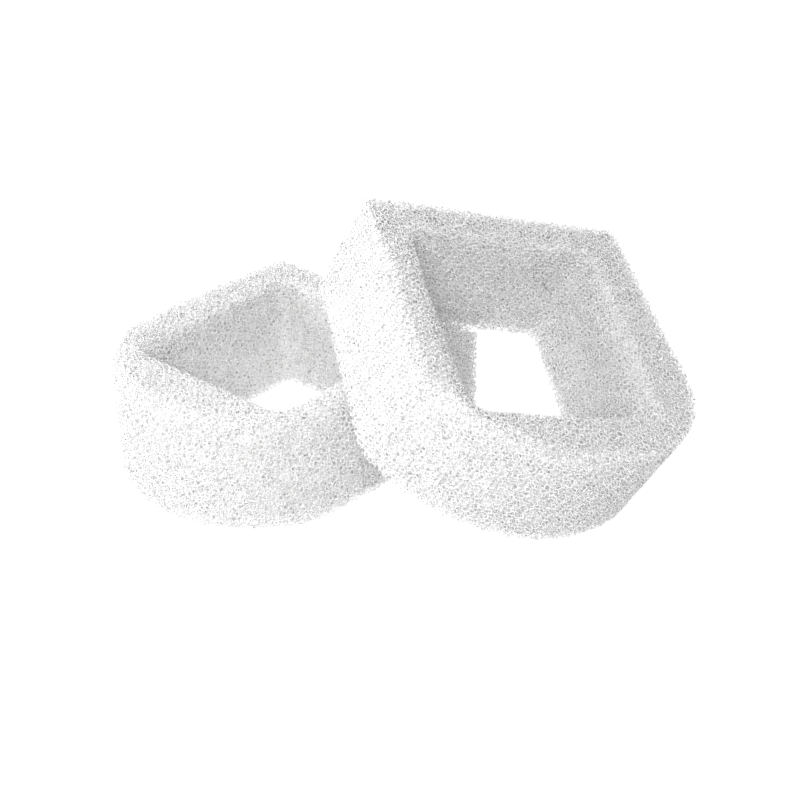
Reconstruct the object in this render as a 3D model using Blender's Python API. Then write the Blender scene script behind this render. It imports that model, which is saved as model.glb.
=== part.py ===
"""Pair of filter sponges for a small fountain or aquarium pump: one lies flat, one leans on it.

Each sponge is a block of open-cell foam, cut as a ring: a straight base edge, two straight
sides, a round end, and one large hole right through for the pump. Units are metres, +Z up.
The origin is the middle of the pair's bounding box, on the surface that it stands on.
"""

import math

import bmesh
import bpy
from mathutils import Vector

THICKNESS = 0.0329
BASE_WIDTH = 0.0766
BASE_CORNER_RADIUS = 0.0012
DEPTH = 0.0806

# The hole: a rounded trapezium, a little narrower towards the round end.
BASE_WALL = 0.0099
HOLE_LENGTH = 0.0553
HOLE_BASE_WIDTH = 0.0546
HOLE_END_WIDTH = 0.0516
HOLE_BASE_RADIUS = 0.0036
HOLE_END_RADIUS = 0.0040

# Where each sponge's straight sides end and its round end peaks, from the middle of its base
# edge, and how full the curve between them is: the sponges aren't cut quite alike.
FLAT_ROUND_END = {
    "right_end": (0.0399, 0.0566),
    "left_end": (-0.0346, 0.0567),
    "peak": (0.0009, 0.0845),
    "side_fullness": (0.0092, 0.0096),
    "peak_fullness": (0.0233, 0.0218),
}
LEANING_ROUND_END = {
    "right_end": (0.0399, 0.0534),
    "left_end": (-0.0409, 0.0514),
    "peak": (-0.0013, 0.0807),
    "side_fullness": (0.0104, 0.0199),
    "peak_fullness": (0.0201, 0.0192),
}

# Place of each sponge's middle, halfway up its thickness, and its turns about X, Y and Z.
FLAT_MIDDLE = (-0.0304, -0.0448, THICKNESS / 2)
FLAT_TURN = (0, 0, 138.3)
LEANING_MIDDLE = (0.0310, -0.0702, 0.0362)
LEANING_TURN = (-25.5, -16.8, 202.2)

CORNER_HANDLE = 0.5523  # of the radius: the Bezier handle length that draws a quarter circle
POINTS_PER_CURVE = 8


def clear_scene():
    for old in list(bpy.data.objects):
        bpy.data.objects.remove(old)


def new_collection(name):
    collection = bpy.data.collections.new(name)
    bpy.context.scene.collection.children.link(collection)
    return collection


def foam_material(name, colour):
    material = bpy.data.materials.new(name)
    material.use_nodes = True
    shader = material.node_tree.nodes["Principled BSDF"]
    shader.inputs["Base Color"].default_value = (*colour, 1.0)
    shader.inputs["Roughness"].default_value = 0.95
    shader.inputs["Metallic"].default_value = 0.0
    return material


def corner(point, before, after, radius):
    """The two Bezier points (left handle, point, right handle) of a rounded corner."""
    point, before, after = Vector(point), Vector(before), Vector(after)
    back = (before - point).normalized()
    ahead = (after - point).normalized()
    trim = radius / math.tan(back.angle(ahead) / 2)
    start, end = point + back * trim, point + ahead * trim
    return [
        (start, start, start - back * trim * CORNER_HANDLE),
        (end - ahead * trim * CORNER_HANDLE, end, end),
    ]


def outer_outline(shape):
    """Bezier points of the outer outline, anticlockwise from the base's left corner."""
    left_base, right_base = (-BASE_WIDTH / 2, 0), (BASE_WIDTH / 2, 0)
    right_end, left_end = Vector(shape["right_end"]), Vector(shape["left_end"])
    peak = Vector(shape["peak"])
    right_side, left_side = shape["side_fullness"]
    right_peak, left_peak = shape["peak_fullness"]
    rising = (right_end - Vector(right_base)).normalized()
    falling = (left_end - Vector(left_base)).normalized()
    return [
        *corner(left_base, left_end, right_base, BASE_CORNER_RADIUS),
        *corner(right_base, left_base, right_end, BASE_CORNER_RADIUS),
        (right_end, right_end, right_end + rising * right_side),
        (peak + Vector((right_peak, 0)), peak, peak - Vector((left_peak, 0))),
        (left_end + falling * left_side, left_end, left_end),
    ]


def hole_outline():
    """Bezier points of the hole's outline."""
    near, far = BASE_WALL, BASE_WALL + HOLE_LENGTH
    corners = [
        ((-HOLE_BASE_WIDTH / 2, near), HOLE_BASE_RADIUS),
        ((HOLE_BASE_WIDTH / 2, near), HOLE_BASE_RADIUS),
        ((HOLE_END_WIDTH / 2, far), HOLE_END_RADIUS),
        ((-HOLE_END_WIDTH / 2, far), HOLE_END_RADIUS),
    ]
    points = []
    for i, (point, radius) in enumerate(corners):
        before, after = corners[i - 1][0], corners[(i + 1) % len(corners)][0]
        points += corner(point, before, after, radius)
    return points


def add_outline(curve, outline):
    spline = curve.splines.new("BEZIER")
    spline.use_cyclic_u = True
    spline.resolution_u = POINTS_PER_CURVE
    spline.bezier_points.add(len(outline) - 1)
    for target, (left, point, right) in zip(spline.bezier_points, outline):
        target.handle_left_type = target.handle_right_type = "FREE"
        middle = Vector((0, DEPTH / 2))
        target.co = (*(point - middle), 0)
        target.handle_left = (*(left - middle), 0)
        target.handle_right = (*(right - middle), 0)


def foam_ring(name, shape):
    """A ring of foam, as a 2D curve with its hole, filled and extruded both ways."""
    curve = bpy.data.curves.new(name, "CURVE")
    curve.dimensions = "2D"
    curve.fill_mode = "BOTH"
    curve.extrude = THICKNESS / 2
    curve.resolution_u = POINTS_PER_CURVE
    add_outline(curve, outer_outline(shape))
    add_outline(curve, hole_outline())
    return bpy.data.objects.new(name, curve)


def as_mesh(outline_object, collection, material):
    """The curve object as a mesh object with its caps welded to its walls."""
    name = outline_object.name
    bpy.context.scene.collection.objects.link(outline_object)
    bpy.context.view_layer.update()
    evaluated = outline_object.evaluated_get(bpy.context.evaluated_depsgraph_get())
    mesh = bpy.data.meshes.new_from_object(evaluated)
    curve = outline_object.data
    bpy.data.objects.remove(outline_object)
    bpy.data.curves.remove(curve)
    weld = bmesh.new()
    weld.from_mesh(mesh)
    bmesh.ops.remove_doubles(weld, verts=weld.verts, dist=1e-6)
    bmesh.ops.recalc_face_normals(weld, faces=weld.faces)
    weld.to_mesh(mesh)
    weld.free()
    mesh.materials.clear()
    mesh.materials.append(material)
    mesh.shade_smooth()
    mesh.set_sharp_from_angle(angle=math.radians(35))
    sponge = bpy.data.objects.new(name, mesh)
    collection.objects.link(sponge)
    return sponge


def place(sponge, middle, turn):
    sponge.location = middle
    sponge.rotation_euler = [math.radians(angle) for angle in turn]


def stand_on_origin(sponges):
    """Moves the pair so that the middle of its box is at X = Y = 0 and its lowest point at Z = 0."""
    bpy.context.view_layer.update()
    corners = [s.matrix_world @ v.co for s in sponges for v in s.data.vertices]
    low = Vector([min(c[axis] for c in corners) for axis in range(3)])
    high = Vector([max(c[axis] for c in corners) for axis in range(3)])
    shift = Vector(((low.x + high.x) / 2, (low.y + high.y) / 2, low.z))
    for sponge in sponges:
        sponge.location -= shift


def main():
    clear_scene()
    pair = new_collection("filter_sponge_pair")
    flat = as_mesh(
        foam_ring("flat_sponge", FLAT_ROUND_END), pair, foam_material("flat_foam", (0.92, 0.92, 0.92))
    )
    leaning = as_mesh(
        foam_ring("leaning_sponge", LEANING_ROUND_END),
        pair,
        foam_material("leaning_foam", (0.92, 0.92, 0.92)),
    )
    place(flat, FLAT_MIDDLE, FLAT_TURN)
    place(leaning, LEANING_MIDDLE, LEANING_TURN)
    stand_on_origin([flat, leaning])


main()
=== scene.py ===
"""Two white open-cell foam filter sponges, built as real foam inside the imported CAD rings.

Each ring's skin is a network of struts, cut off at the ring's faces as a foam cutter's wire does.
Under it lies a closed, dimpled core that stands for the foam too deep to see.
"""

import itertools
import math

import bpy
import numpy as np
from mathutils import Matrix

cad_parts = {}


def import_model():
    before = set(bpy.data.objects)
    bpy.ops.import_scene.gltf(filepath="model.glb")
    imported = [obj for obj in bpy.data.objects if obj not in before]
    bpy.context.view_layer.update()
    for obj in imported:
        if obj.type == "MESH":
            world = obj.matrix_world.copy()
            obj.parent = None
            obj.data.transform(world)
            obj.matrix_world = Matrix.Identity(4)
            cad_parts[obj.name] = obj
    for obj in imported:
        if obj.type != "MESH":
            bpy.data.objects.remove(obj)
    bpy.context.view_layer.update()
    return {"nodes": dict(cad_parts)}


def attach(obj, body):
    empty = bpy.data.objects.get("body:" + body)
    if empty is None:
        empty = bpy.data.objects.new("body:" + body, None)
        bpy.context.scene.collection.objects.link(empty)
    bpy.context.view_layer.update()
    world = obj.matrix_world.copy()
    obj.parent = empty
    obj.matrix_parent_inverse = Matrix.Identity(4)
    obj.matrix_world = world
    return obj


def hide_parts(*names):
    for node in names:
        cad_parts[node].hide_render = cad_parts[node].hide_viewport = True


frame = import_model()

MM = 0.001

# The struts and the core. The cells' middles form a lattice with two of them to a cube.
CUBE = 1.9 * MM
LATTICE_TURN = (0.62, 0.41, 0.93)  # how the cubes are turned in a ring, in radians
CENTRE_JITTER = 0.40               # how far a cell's middle strays, in cubes
JOINT_JITTER = 0.05                # how far a joint strays, in cubes
STRUT = 0.21 * MM                  # a joint's radius; a strut is about 1.4 times as thick
STRUT_SPREAD = 0.22                # share that the joints' sizes vary by
STRUT_REACH = 0.6 * MM             # how far the struts go on inside the core
FRAY = 0.12 * MM                   # how far the cut ends of the struts differ
SHORTEST_STUB = 0.18               # a cut strut shorter than this share of the whole is left off
CORE_DEPTH = 1.5 * MM              # how deep under the surface the closed core starts
EDGE_CORE_DEPTH = 0.4 * MM         # the same at a sharp edge, where the cut has packed the foam
EDGE_REACH = 3.0 * MM              # how far from a sharp edge the foam is packed
CORE_MESH = 0.5 * MM               # size of the core's faces
SINKING_ROUNDS = 4                 # steps that bring the core down to its depth
DIMPLE = 0.6 * MM                  # how much deeper the core is in the middle of a cell
DIMPLE_RADIUS = 0.45 * CUBE
SECTORS = 8                        # pieces that each ring's skin is made in
RING_SEEDS = {"flat_sponge": 11, "leaning_sponge": 23}

# The rings' edges and holes.
EDGE_ROUNDING = 0.4 * MM           # radius of the cut edges
HOLE_ROUNDING = 1.2 * MM           # radius of the worn edge where the pump goes into the hole
WORN_ROUNDING = 4.5 * MM           # radius of the upper edges on the side that gets handled
WORN_SIDE = (-0.51, -0.86, 0.0)    # the way to that side
WORN_FACING = 0.7                  # how squarely an edge faces that way where it is fully worn
HOLE_NARROWING = 1.7 * MM          # how much closer the hole's walls stand at the bottom

# The foam's colour, and the shade painted into the core's pores.
FOAM_WHITE = 0.985
FOAM_TINT = (1, 0.9985, 0.999)
PATCH_SHADE = 0.02                 # how much darker the dull patches are
PATCH_NOISE = (0.3, 0.7)           # noise values that give dull and full white
STRUT_PATCHES = 60                 # patches to a metre, roughly
CORE_PATCHES = 120
PORE = 1.5 * MM                    # how wide the cells of painted shade on the core are
PAINTED_PORE_SHADE = 0.6                   # how light the painted shade leaves the core in the middle of them
PAINTED_SHADE_SLOPE = (0.06, 0.3)           # where the painted shade starts and is full, inward from a pore's wall


# ---------------------------------------------------------------- the rings' frames

def outline_loops(edges):
    """The closed loops that directed edges form, as lists of point numbers."""
    follow = {a: b for a, b in edges}
    loops = []
    while follow:
        start, point = next(iter(follow.items()))
        loop = [start]
        del follow[start]
        while point != start:
            loop.append(point)
            point = follow.pop(point)
        loops.append(loop)
    return loops


def polygon_area(outline):
    x, y = outline.T
    return abs(0.5 * float(np.sum(x * np.roll(y, -1) - np.roll(x, -1) * y)))


def ring_solid(node):
    """A CAD ring's distinct points and its triangles."""
    mesh = frame["nodes"][node].data
    mesh.calc_loop_triangles()
    points = np.array([v.co for v in mesh.vertices])
    triangles = np.array([t.vertices for t in mesh.loop_triangles])
    points, index = np.unique(np.round(points, 7), axis=0, return_inverse=True)
    return points, index.reshape(-1)[triangles]


def ring_axes(facing, size):
    """A ring's axes as rows, the last one up along the hole, from how its triangles face."""
    # The walls turn all round the hole, so the faces point least along it.
    axis = np.linalg.eigh((facing * size[:, None]).T @ facing)[1][:, 0]
    axis *= np.sign(axis[2])
    across = np.cross((0.0, 0.0, 1.0), axis)
    if np.linalg.norm(across) < 0.01:
        across = np.array((1.0, 0.0, 0.0))
    across /= np.linalg.norm(across)
    return np.array([across, np.cross(axis, across), axis])


def ring_frame(node):
    """A CAD ring's middle, its axes, its thickness and the outlines of its upper face."""
    points, triangles = ring_solid(node)
    a, b, c = (points[triangles[:, i]] for i in range(3))
    facing = np.cross(b - a, c - a)
    size = np.linalg.norm(facing, axis=1)
    facing /= size[:, None]
    axes = ring_axes(facing, size)
    local = points @ axes.T
    middle = (local.min(0) + local.max(0)) / 2
    cap = triangles[facing @ axes[2] > 0.99]
    edges = {(int(t[i]), int(t[(i + 1) % 3])) for t in cap for i in range(3)}
    rim = [edge for edge in edges if edge[::-1] not in edges]
    outlines = [local[loop, :2] - middle[:2] for loop in outline_loops(sorted(rim))]
    outlines.sort(key=polygon_area, reverse=True)
    return {
        "middle": middle @ axes,
        "axes": axes,
        "thickness": float(np.ptp(local[:, 2])),
        "outer": outlines[0],
        "hole": outlines[1],
    }


CHUNK = 20000              # points measured at once


def inside_distance(outline, points):
    """How far points lie inside an outline, negative outside it."""
    a, b = outline, np.roll(outline, -1, axis=0)
    along = b - a
    length2 = (along**2).sum(1)
    out = np.empty(len(points))
    for start in range(0, len(points), CHUNK):
        p = points[start : start + CHUNK]
        offset = p[:, None] - a
        share = np.clip((offset * along).sum(2) / length2, 0, 1)
        near = np.sqrt(((offset - share[..., None] * along) ** 2).sum(2)).min(1)
        spans = (a[:, 1] > p[:, 1:]) != (b[:, 1] > p[:, 1:])
        rise = np.where(along[:, 1] == 0, 1e-12, along[:, 1])
        crossing = a[:, 0] + along[:, 0] * (p[:, 1:] - a[:, 1]) / rise
        inside = (spans & (p[:, :1] < crossing)).sum(1) % 2 == 1
        out[start : start + CHUNK] = np.where(inside, near, -near)
    return out


def rounded_edge(one, other, radius):
    """The depth under two faces that meet in a rounded edge, from the depth under each."""
    away = np.hypot(np.maximum(radius - one, 0), np.maximum(radius - other, 0))
    near_edge = (one < radius) & (other < radius)
    return np.where(near_edge, radius - away, np.minimum(one, other))


class Depth:
    """How deep a point of the ring's own frame lies under the ring's nearest face."""

    STEP = 0.25 * MM           # spacing of the grids that hold the distances from the walls
    MARGIN = 5 * MM            # how far the grids go on outside the ring

    def __init__(self, ring):
        self.half = ring["thickness"] / 2
        self.worn_way = ring["axes"][:2] @ WORN_SIDE
        self.low = ring["outer"].min(0) - self.MARGIN
        count = np.ceil((np.ptp(ring["outer"], axis=0) + 2 * self.MARGIN) / self.STEP).astype(int)
        numbers = [np.arange(n + 1) for n in count]
        grid = np.stack(np.meshgrid(*numbers, indexing="ij"), -1)
        points = self.low + grid.reshape(-1, 2) * self.STEP
        self.outer = inside_distance(ring["outer"], points).reshape(grid.shape[:2])
        self.hole = -inside_distance(ring["hole"], points).reshape(grid.shape[:2])

    def walls_and_face(self, points):
        """The depths under the outer wall, the hole's wall and the nearer face."""
        place = (points[..., :2] - self.low) / self.STEP
        # Places stay just short of the grid's last line, so each has a next line above it.
        place = np.clip(place, 0, np.array(self.outer.shape) - 1.001)
        cell = place.astype(int)
        fx, fy = np.moveaxis(place - cell, -1, 0)
        i, j = np.moveaxis(cell, -1, 0)
        walls = []
        for wall in (self.outer, self.hole):
            low = wall[i, j] * (1 - fx) + wall[i + 1, j] * fx
            high = wall[i, j + 1] * (1 - fx) + wall[i + 1, j + 1] * fx
            walls.append(low * (1 - fy) + high * fy)
        downward = np.clip(-points[..., 2] / self.half, 0, 1)
        return walls[0], walls[1] + HOLE_NARROWING * downward, self.half - np.abs(points[..., 2])

    def wear(self, points):
        """How worn the upper edges are, from 0 on the far side to 1 on the side that gets handled."""
        away = np.linalg.norm(points[..., :2], axis=-1)
        facing = points[..., :2] @ self.worn_way / np.maximum(away, MM)
        share = np.clip(facing / WORN_FACING, 0, 1)
        return np.where(points[..., 2] > 0, share * share * (3 - 2 * share), 0)

    def __call__(self, points):
        outer, hole, face = self.walls_and_face(points)
        wear = self.wear(points)
        outer_radius = EDGE_ROUNDING + (WORN_ROUNDING - EDGE_ROUNDING) * wear
        hole_radius = np.where(points[..., 2] > 0, HOLE_ROUNDING, EDGE_ROUNDING)
        hole_radius = hole_radius + (WORN_ROUNDING - HOLE_ROUNDING) * wear
        return np.minimum(
            rounded_edge(outer, face, outer_radius), rounded_edge(hole, face, hole_radius)
        )

    def core_depth(self, points):
        """How deep the closed core starts: less near the outer edges and the hole's lower edge."""
        outer, hole, face = self.walls_and_face(points)
        hole = np.where(points[..., 2] > 0, EDGE_REACH, hole)
        away = np.hypot(np.maximum(np.minimum(outer, hole), 0), np.maximum(face, 0))
        share = np.clip(away / EDGE_REACH, 0, 1)
        return EDGE_CORE_DEPTH + (CORE_DEPTH - EDGE_CORE_DEPTH) * share


# ---------------------------------------------------------------- the foam's structure

# Cells sit at the corners (kind 0) and the middle (kind 1) of each cube of a lattice, and a
# joint of four struts lies wherever four cells meet. Lengths are in cubes.
CUBE_JOINTS = 12
CELL_TO_JOINT = math.sqrt(5) / 4
JOINT_TO_JOINT = math.sqrt(2) / 4
SAME = 0.01                # lengths that differ by less are the same
NEAR_SHIFTS = list(itertools.product((-1, 0, 1, 2), repeat=3))


def cube_joints():
    """Where a cube's 12 joints lie."""
    joints = []
    for quarter_axis, swap, quarter in itertools.product(range(3), (0, 1), (0.25, 0.75)):
        others = [axis for axis in range(3) if axis != quarter_axis]
        place = np.zeros(3)
        place[quarter_axis] = quarter
        place[others[swap]] = 0.5
        joints.append(place)
    return joints


def cell_middle(cell):
    shift, kind = cell
    return np.array(shift) + 0.5 * kind


def cells_around(joint):
    """The four cells that meet at a joint, each as (cube shift, kind)."""
    cells = itertools.product(NEAR_SHIFTS, (0, 1))
    return [
        cell for cell in cells
        if abs(np.linalg.norm(cell_middle(cell) - joint) - CELL_TO_JOINT) < SAME
    ]


def strut_between(number, shift, other):
    """A strut's three cells, anticlockwise from its far end, as numbers at its near and far joint."""
    toward = np.array(shift) + JOINTS[other] - JOINTS[number]
    theirs = [(tuple(np.array(cell[0]) + shift), cell[1]) for cell in CELLS[other]]
    mine = [cell for cell in range(4) if CELLS[number][cell] in theirs]
    p, q, r = (cell_middle(CELLS[number][cell]) - JOINTS[number] for cell in mine)
    if np.dot(np.cross(q - p, r - p), toward) < 0:
        mine.reverse()
    return mine, [theirs.index(CELLS[number][cell]) for cell in mine]


def joint_struts(number):
    """A joint's four struts as (cube shift, far joint, near cells, far cells), one across each cell."""
    struts = [None] * 4
    for shift, other in itertools.product(NEAR_SHIFTS, range(CUBE_JOINTS)):
        length = np.linalg.norm(np.array(shift) + JOINTS[other] - JOINTS[number])
        if abs(length - JOINT_TO_JOINT) < SAME:
            mine, theirs = strut_between(number, shift, other)
            across = ({0, 1, 2, 3} - set(mine)).pop()
            struts[across] = (shift, other, mine, theirs)
    return struts


JOINTS = cube_joints()
CELLS = [cells_around(joint) for joint in JOINTS]
STRUTS = [joint_struts(number) for number in range(CUBE_JOINTS)]
NEAR_CELLS = np.array([strut[2] for row in STRUTS for strut in row])
FAR_CELLS = np.array([strut[3] for row in STRUTS for strut in row])


class Foam:
    """One ring's foam: uneven cells and the joints between them, in the ring's own frame."""

    MARGIN = 2.2 * CUBE        # how far outside the skin cubes are still listed
    SPARE = 1.08               # how far the lattice goes on past the ring's corners, as a factor

    def __init__(self, ring, seed):
        self.depth = Depth(ring)
        self.random = np.random.default_rng(seed)
        turns = [Matrix.Rotation(angle, 3, axis) for angle, axis in zip(LATTICE_TURN, "XYZ")]
        self.turn = np.array(turns[2] @ turns[1] @ turns[0])
        corner = np.append(ring["outer"].max(0), ring["thickness"] / 2)
        self.half = int(np.linalg.norm(corner) * self.SPARE / CUBE) + 2
        self.count = 2 * self.half + 1
        self.find_cubes(ring)
        self.stray = self.random.uniform(-1, 1, (self.count,) * 3 + (2, 3)) * CENTRE_JITTER
        self.place_joints()

    def find_cubes(self, ring):
        """Lists the cubes that hold any of the skin or touch it."""
        numbers = [np.arange(self.count)] * 3
        cubes = np.stack(np.meshgrid(*numbers, indexing="ij"), -1).reshape(-1, 3)
        place = self.to_ring(cubes + 0.5)
        high = np.append(ring["outer"].max(0), ring["thickness"] / 2) + self.MARGIN
        low = np.append(ring["outer"].min(0), -ring["thickness"] / 2) - self.MARGIN
        cubes = cubes[((place < high) & (place > low)).all(1)]
        deep = self.depth(self.to_ring(cubes + 0.5))
        self.cubes = cubes[(deep > -self.MARGIN) & (deep < CORE_DEPTH + self.MARGIN)]
        self.row_of_cube = np.full((self.count,) * 3, -1)
        self.row_of_cube[tuple(self.cubes.T)] = np.arange(len(self.cubes))

    def place_joints(self):
        """Puts each joint amid its four cells' middles, with its own size and cut depth."""
        shape = (len(self.cubes), CUBE_JOINTS)
        cells = np.empty(shape + (4, 3))
        for number, side in itertools.product(range(CUBE_JOINTS), range(4)):
            cells[:, number, side] = self.uneven_middle(CELLS[number][side])
        joints = cells.mean(2) + self.random.uniform(-1, 1, shape + (3,)) * JOINT_JITTER
        self.size = STRUT * (1 + STRUT_SPREAD * self.random.uniform(-1, 1, shape)).reshape(-1)
        fray = FRAY * self.random.uniform(-1, 1, shape).reshape(-1)
        self.joints = self.to_ring(joints).reshape(-1, 3)
        self.cells = self.to_ring(cells).reshape(-1, 4, 3)
        self.joint_depth = self.depth(self.joints) + fray

    def to_ring(self, place):
        """Turns places counted in cubes into the ring's own frame."""
        return (place - self.half) * CUBE @ self.turn.T

    def shifted(self, shift):
        """The cubes at a shift from each cube, as three indexes."""
        return tuple(np.clip(self.cubes + shift, 0, self.count - 1).T)

    def uneven_middle(self, cell):
        """Where a cell's middle lies for each cube."""
        shift, kind = cell
        return self.cubes + cell_middle(cell) + self.stray[self.shifted(shift) + (kind,)]

    def middle_distance(self, points):
        """How far points lie from the middle of the nearest cell."""
        place = points @ self.turn / CUBE + self.half
        nearest = np.full(len(points), np.inf)
        for shift, kind in itertools.product(itertools.product((-1, 0, 1), repeat=3), (0, 1)):
            cube = np.floor(place + 0.5 * (1 - kind)).astype(int) + shift
            cube = np.clip(cube, 0, self.count - 1)
            middle = cube + 0.5 * kind + self.stray[tuple(cube.T) + (kind,)]
            nearest = np.minimum(nearest, ((place - middle) ** 2).sum(1))
        return np.sqrt(nearest) * CUBE

    def far_joints(self, shift, number):
        """Row numbers of a joint in the cube at a shift from each cube, and which of them exist."""
        cube = self.row_of_cube[self.shifted(shift)]
        exists = cube >= 0
        return np.where(exists, cube, 0) * CUBE_JOINTS + number, exists


def mesh_from(name, points, quads, triangles):
    mesh = bpy.data.meshes.new(name)
    mesh.vertices.add(len(points))
    mesh.vertices.foreach_set("co", points.astype(np.float32).ravel())
    loops = np.concatenate([quads.ravel(), triangles.ravel()]).astype(np.int32)
    starts = np.concatenate([
        np.arange(len(quads)) * 4, len(quads) * 4 + np.arange(len(triangles)) * 3
    ]).astype(np.int32)
    mesh.loops.add(len(loops))
    mesh.loops.foreach_set("vertex_index", loops)
    mesh.polygons.add(len(starts))
    mesh.polygons.foreach_set("loop_start", starts)
    mesh.update(calc_edges=True)
    mesh.validate()
    return mesh


def add_object(name, mesh, material):
    mesh.materials.clear()
    mesh.materials.append(material)
    mesh.shade_smooth()
    obj = bpy.data.objects.new(name, mesh)
    bpy.context.scene.collection.objects.link(obj)
    return obj


def world(ring, points):
    return points @ ring["axes"] + ring["middle"]


def joint_sectors(foam):
    """Which of the ring's pieces each joint goes in."""
    turn = np.arctan2(foam.joints[:, 1], foam.joints[:, 0]) / (2 * math.pi) % 1
    return (turn * SECTORS).astype(int)


def sort_struts(foam, sector):
    """Lists whole struts (near, far, kind), cut ones (near, far, share, kind) and bare joint sides."""
    depth = foam.joint_depth
    kept = (depth > 0) & (depth < CORE_DEPTH + STRUT_REACH)
    whole, cut, bare = [], [], []
    for number, side in itertools.product(range(CUBE_JOINTS), range(4)):
        kind = number * 4 + side
        near = np.arange(len(foam.cubes)) * CUBE_JOINTS + number
        far, exists = foam.far_joints(*STRUTS[number][side][:2])
        joined = kept[near] & exists & kept[far]
        within = sector[near] == sector[far]
        first = near < far
        rows = joined & within & first
        whole.append((near[rows], far[rows], np.full(rows.sum(), kind)))
        # A strut from one piece to the next belongs to the first, which closes it at the far end.
        rows = joined & ~within & first
        cut.append((near[rows], far[rows], np.ones(rows.sum()), np.full(rows.sum(), kind)))
        fall = depth[near] - depth[far]
        share = depth[near] / np.where(fall <= 0, 1, fall)
        stub = kept[near] & exists & (depth[far] <= 0) & (share > SHORTEST_STUB)
        cut.append((near[stub], far[stub], share[stub], np.full(stub.sum(), kind)))
        rows = (joined & ~within & ~first) | (kept[near] & ~joined & ~stub)
        bare.append((near[rows], np.full(rows.sum(), kind)))
    return [[np.concatenate(column) for column in zip(*rows)] for rows in (whole, cut, bare)]


def tube_faces(near, far):
    """The three sides of each strut, from the point numbers of its two triangular ends."""
    return np.stack([near, np.roll(near, -1, 1), np.roll(far, -1, 1), far], axis=2).reshape(-1, 4)


def strut_skin(ring, foam):
    """The open struts of the ring's skin, as (points, quads, triangles) for each piece."""
    toward = foam.cells - foam.joints[:, None]
    toward /= np.linalg.norm(toward, axis=2, keepdims=True)
    corners = foam.joints[:, None] + toward * foam.size[:, None, None]
    sector = joint_sectors(foam)
    lists = sort_struts(foam, sector)
    pieces = []
    for part in range(SECTORS):
        own = [[column[sector[columns[0]] == part] for column in columns] for columns in lists]
        pieces.append(skin_piece(ring, corners, *own))
    return pieces


def skin_piece(ring, corners, whole, cut, bare):
    """One piece of the skin: joints have four corners, and a strut joins three at either end."""
    near, far, kind = whole
    whole_sides = tube_faces(near[:, None] * 4 + NEAR_CELLS[kind], far[:, None] * 4 + FAR_CELLS[kind])
    near, far, share, kind = cut
    start = corners[near[:, None], NEAR_CELLS[kind]]
    end = corners[far[:, None], FAR_CELLS[kind]]
    tips = (start + (end - start) * share[:, None, None]).reshape(-1, 3)
    tip_faces = corners.shape[0] * 4 + np.arange(len(tips)).reshape(-1, 3)
    cut_sides = tube_faces(near[:, None] * 4 + NEAR_CELLS[kind], tip_faces)
    near, kind = bare
    bare_faces = near[:, None] * 4 + NEAR_CELLS[kind]
    points = np.concatenate([corners.reshape(-1, 3), tips])
    quads = np.concatenate([whole_sides, cut_sides])
    triangles = np.concatenate([bare_faces, tip_faces])
    used, index = np.unique(np.concatenate([quads.ravel(), triangles.ravel()]), return_inverse=True)
    index = index.reshape(-1)
    quads, triangles = index[: quads.size].reshape(-1, 4), index[quads.size :].reshape(-1, 3)
    return world(ring, points[used]), quads, triangles


def remeshed(name, mesh):
    """A new mesh over the same solid, with small even faces."""
    solid = bpy.data.objects.new(name, mesh)
    bpy.context.scene.collection.objects.link(solid)
    remesh = solid.modifiers.new("remesh", "REMESH")
    remesh.mode = "VOXEL"
    remesh.voxel_size = CORE_MESH
    graph = bpy.context.evaluated_depsgraph_get()
    result = bpy.data.meshes.new_from_object(solid.evaluated_get(graph))
    bpy.data.objects.remove(solid)
    return result


def places_and_inward(ring, mesh):
    """A mesh's points and the way inward at each, in the ring's own frame."""
    points = np.empty(len(mesh.vertices) * 3, np.float32)
    mesh.vertices.foreach_get("co", points)
    normals = np.empty(len(mesh.vertices) * 3, np.float32)
    mesh.vertex_normals.foreach_get("vector", normals)
    points = (points.reshape(-1, 3).astype(float) - ring["middle"]) @ ring["axes"].T
    return points, -normals.reshape(-1, 3).astype(float) @ ring["axes"].T


def set_places(ring, mesh, points):
    mesh.vertices.foreach_set("co", world(ring, points).astype(np.float32).ravel())
    mesh.update()


def closed_core(node, ring, foam):
    """The closed core: the ring's solid, sunk under its skin and dimpled at every cell."""
    mesh = remeshed(node, frame["nodes"][node].data.copy())
    place, inward = places_and_inward(ring, mesh)
    for _ in range(SINKING_ROUNDS):
        place += inward * (foam.depth.core_depth(place) - foam.depth(place))[:, None]
    set_places(ring, mesh, place)
    mesh = remeshed(node, mesh)
    place, inward = places_and_inward(ring, mesh)
    share = np.clip(1 - (foam.middle_distance(place) / DIMPLE_RADIUS) ** 2, 0, 1)
    share *= foam.depth.core_depth(place) / CORE_DEPTH
    set_places(ring, mesh, place + inward * (DIMPLE * share)[:, None])
    return mesh


# ---------------------------------------------------------------- materials

def white_ramp(tree, value, low, high):
    """Turns a value into a foam white: low and high are each a (value, whiteness) pair."""
    ramp = tree.nodes.new("ShaderNodeValToRGB")
    for element, (place, whiteness) in zip(ramp.color_ramp.elements, (low, high)):
        element.position = place
        element.color = (*(whiteness * share for share in FOAM_TINT), 1)
    tree.links.new(value, ramp.inputs["Fac"])
    return ramp.outputs["Color"]


def foam_material(name, patch_scale):
    """White foam: matt, with faint uneven patches."""
    material = bpy.data.materials.new(name)
    material.use_nodes = True
    tree = material.node_tree
    shader = tree.nodes["Principled BSDF"]
    shader.inputs["Roughness"].default_value = 0.9
    shader.inputs["Specular IOR Level"].default_value = 0.25
    place = tree.nodes.new("ShaderNodeTexCoord").outputs["Object"]
    noise = tree.nodes.new("ShaderNodeTexNoise")
    noise.inputs["Scale"].default_value = patch_scale
    noise.inputs["Detail"].default_value = 3
    tree.links.new(place, noise.inputs["Vector"])
    dull = (PATCH_NOISE[0], FOAM_WHITE - PATCH_SHADE)
    full = (PATCH_NOISE[1], FOAM_WHITE)
    white = white_ramp(tree, noise.outputs["Fac"], dull, full)
    tree.links.new(white, shader.inputs["Base Color"])
    return material


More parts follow.
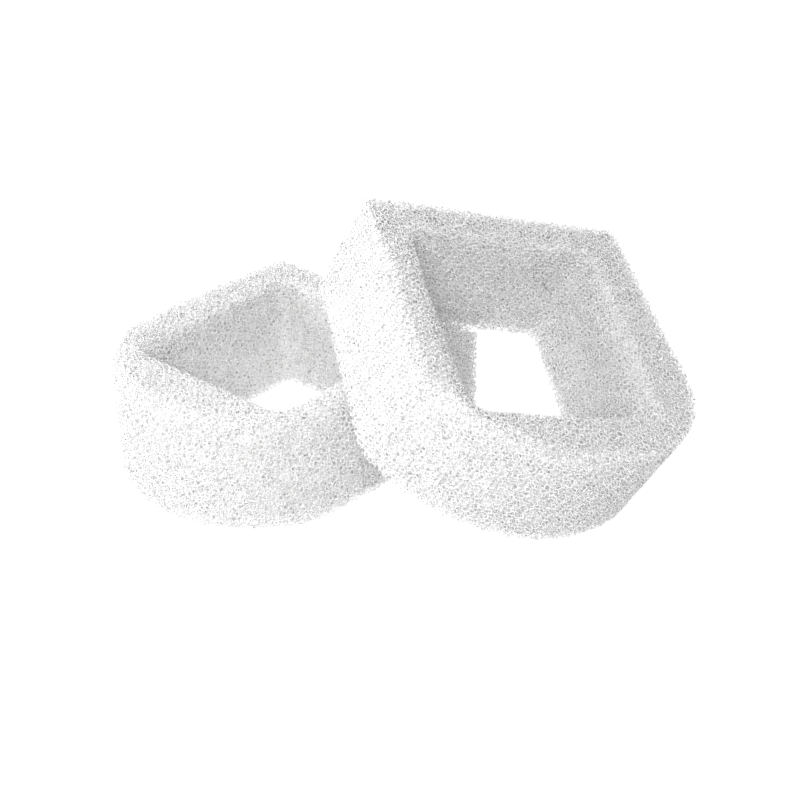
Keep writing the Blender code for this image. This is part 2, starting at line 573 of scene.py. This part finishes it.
def paint_pore_shade(material):
    """Paints shade into the core's cells between their walls, for the shade where they lead down into
    the foam.
    """
    tree = material.node_tree
    shader = tree.nodes["Principled BSDF"]
    white = shader.inputs["Base Color"].links[0].from_socket
    cells = tree.nodes.new("ShaderNodeTexVoronoi")
    cells.feature = "DISTANCE_TO_EDGE"
    cells.inputs["Scale"].default_value = 1 / PORE
    tree.links.new(tree.nodes["Texture Coordinate"].outputs["Object"], cells.inputs["Vector"])
    wall, middle = (PAINTED_SHADE_SLOPE[0], 1), (PAINTED_SHADE_SLOPE[1], PAINTED_PORE_SHADE)
    shade = white_ramp(tree, cells.outputs["Distance"], wall, middle)
    mix = tree.nodes.new("ShaderNodeVectorMath")
    mix.operation = "MULTIPLY"
    tree.links.new(white, mix.inputs[0])
    tree.links.new(shade, mix.inputs[1])
    tree.links.new(mix.outputs["Vector"], shader.inputs["Base Color"])


# ---------------------------------------------------------------- stage, light and camera

FLOOR_REACH = 6.0          # from the middle to a side
FLOOR_SHADE = (0.02, 0.02, 0.02, 1)
STUDIO_LIGHT = 0.3
SOFTBOX_SIZE = 0.35
SOFTBOX_DISTANCE = 0.6
SOFTBOX_AIM = 0.03         # height of the point that the softboxes face
CAMERA_TARGET = np.array((-0.0012, 0.0515, 0.0))
CAMERA_DISTANCE = 0.4489
CAMERA_ELEVATION = math.radians(28.0)
CAMERA_ROLL = math.radians(-0.88)
CAMERA_LENS = 65.3
CAMERA_SHIFT = (0.0145, -0.0384)


def add_stage():
    """A plain floor that glows an even white, like a light table, and shows no shadows."""
    low, high = -FLOOR_REACH, FLOOR_REACH
    corners = [(low, low, 0), (high, low, 0), (high, high, 0), (low, high, 0)]
    mesh = bpy.data.meshes.new("floor")
    mesh.from_pydata(corners, [], [(0, 1, 2, 3)])
    floor = bpy.data.objects.new("floor", mesh)
    bpy.context.scene.collection.objects.link(floor)
    material = bpy.data.materials.new("floor_white")
    material.use_nodes = True
    shader = material.node_tree.nodes["Principled BSDF"]
    shader.inputs["Base Color"].default_value = FLOOR_SHADE
    shader.inputs["Roughness"].default_value = 1
    shader.inputs["Emission Color"].default_value = (1, 1, 1, 1)
    shader.inputs["Emission Strength"].default_value = 1
    mesh.materials.append(material)


def look(direction, roll=0.0):
    """The turn of a camera or lamp that points along a direction, its right side level."""
    ahead = direction / np.linalg.norm(direction)
    right = np.cross(ahead, (0, 0, 1))
    right /= np.linalg.norm(right)
    up = np.cross(right, ahead)
    tilted = right * math.cos(roll) + up * math.sin(roll)
    raised = up * math.cos(roll) - right * math.sin(roll)
    return Matrix(np.array([tilted, raised, -ahead]).T.tolist())


def add_softbox(name, azimuth, elevation, power):
    """A round softbox aimed at the sponges. Azimuth 0 is in front and -90 on the left, in degrees."""
    turn, rise = math.radians(azimuth), math.radians(elevation)
    level = math.cos(rise)
    toward = np.array((math.sin(turn) * level, -math.cos(turn) * level, math.sin(rise)))
    light = bpy.data.lights.new(name, "AREA")
    light.shape = "DISK"
    light.size = SOFTBOX_SIZE
    light.energy = power
    lamp = bpy.data.objects.new(name, light)
    bpy.context.scene.collection.objects.link(lamp)
    place = toward * SOFTBOX_DISTANCE + np.array((0, 0, SOFTBOX_AIM))
    lamp.matrix_world = Matrix.Translation(place) @ look(-toward).to_4x4()


def add_lights():
    """Dim all-round light and three softboxes."""
    studio = bpy.data.worlds.new("studio")
    bpy.context.scene.world = studio
    studio.use_nodes = True
    background = studio.node_tree.nodes["Background"]
    background.inputs["Color"].default_value = (1, 1, 1, 1)
    background.inputs["Strength"].default_value = STUDIO_LIGHT
    add_softbox("left_softbox", -75, 20, 1.55)
    add_softbox("front_softbox", -8, 38, 2.45)
    add_softbox("back_softbox", -135, 35, 1.55)


def add_camera():
    data = bpy.data.cameras.new("camera")
    data.sensor_width = 36
    data.lens = CAMERA_LENS
    data.shift_x, data.shift_y = CAMERA_SHIFT
    data.clip_start = 0.01
    camera = bpy.data.objects.new("camera", data)
    bpy.context.scene.collection.objects.link(camera)
    back = np.array((0, -math.cos(CAMERA_ELEVATION), math.sin(CAMERA_ELEVATION)))
    place = Matrix.Translation(CAMERA_TARGET + back * CAMERA_DISTANCE)
    camera.matrix_world = place @ look(-back, CAMERA_ROLL).to_4x4()
    bpy.context.scene.camera = camera


# ---------------------------------------------------------------- the sponges

def build_sponge(node, body, slot):
    """Builds one sponge's core and skin, hangs each piece on its body and hides the CAD ring."""
    ring = ring_frame(node)
    foam = Foam(ring, RING_SEEDS[node])
    strut_white = foam_material(slot + "_struts", STRUT_PATCHES)
    core_white = foam_material(slot + "_core", CORE_PATCHES)
    # the core's pores get painted shade, darkest in their middles
    paint_pore_shade(core_white)
    pieces = [add_object(node + "_core", closed_core(node, ring, foam), core_white)]
    for part, faces in enumerate(strut_skin(ring, foam)):
        name = f"{node}_struts_{part + 1}"
        pieces.append(add_object(name, mesh_from(name, *faces), strut_white))
    for piece in pieces:
        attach(piece, body)
        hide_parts(node)


def main():
    scene = bpy.context.scene
    scene.view_settings.view_transform = "Standard"
    # White foam passes light on from strut to strut many times before it comes out.
    scene.cycles.max_bounces = 32
    scene.cycles.diffuse_bounces = 32
    add_stage()
    add_lights()
    add_camera()
    build_sponge("flat_sponge", "flat_body", "flat_foam")
    build_sponge("leaning_sponge", "leaning_body", "leaning_foam")


main()
